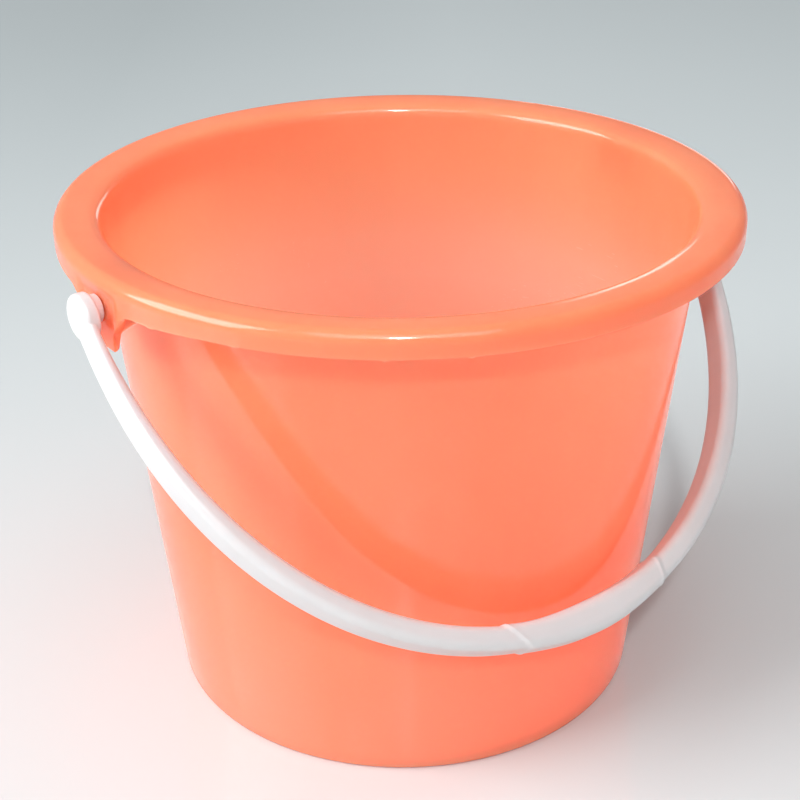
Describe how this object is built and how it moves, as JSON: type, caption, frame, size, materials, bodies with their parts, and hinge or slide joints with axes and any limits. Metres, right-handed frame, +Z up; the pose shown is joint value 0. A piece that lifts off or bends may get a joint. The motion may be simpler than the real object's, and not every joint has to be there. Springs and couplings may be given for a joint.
{
  "type": "sand bucket",
  "caption": "Tapered toy sand bucket with a rolled rim and a snap-in bail handle that swings over the top.",
  "frame": {"origin": "centre of the base's underside, level with the surface the bucket stands on", "axes": "+Z up along the bucket's axis; X along the hinge line through both lugs; the handle hangs towards -Y at rest"},
  "size_m": [0.149, 0.14, 0.1079],
  "materials": {
    "bucket_plastic": "glossy translucent orange polypropylene",
    "handle_plastic": "semi-gloss white polypropylene"
  },
  "bodies": {
    "bucket_body": {"bucket": "bucket_plastic"},
    "handle_body": {"handle": "handle_plastic"}
  },
  "joints": [
    {"name": "handle_swing", "type": "hinge", "parent": "bucket_body", "child": "handle_body", "pos_m": [0, 0, 0.1008], "axis": [-1, 0, 0], "range_deg": [-1.7, 275.1]}
  ]
}
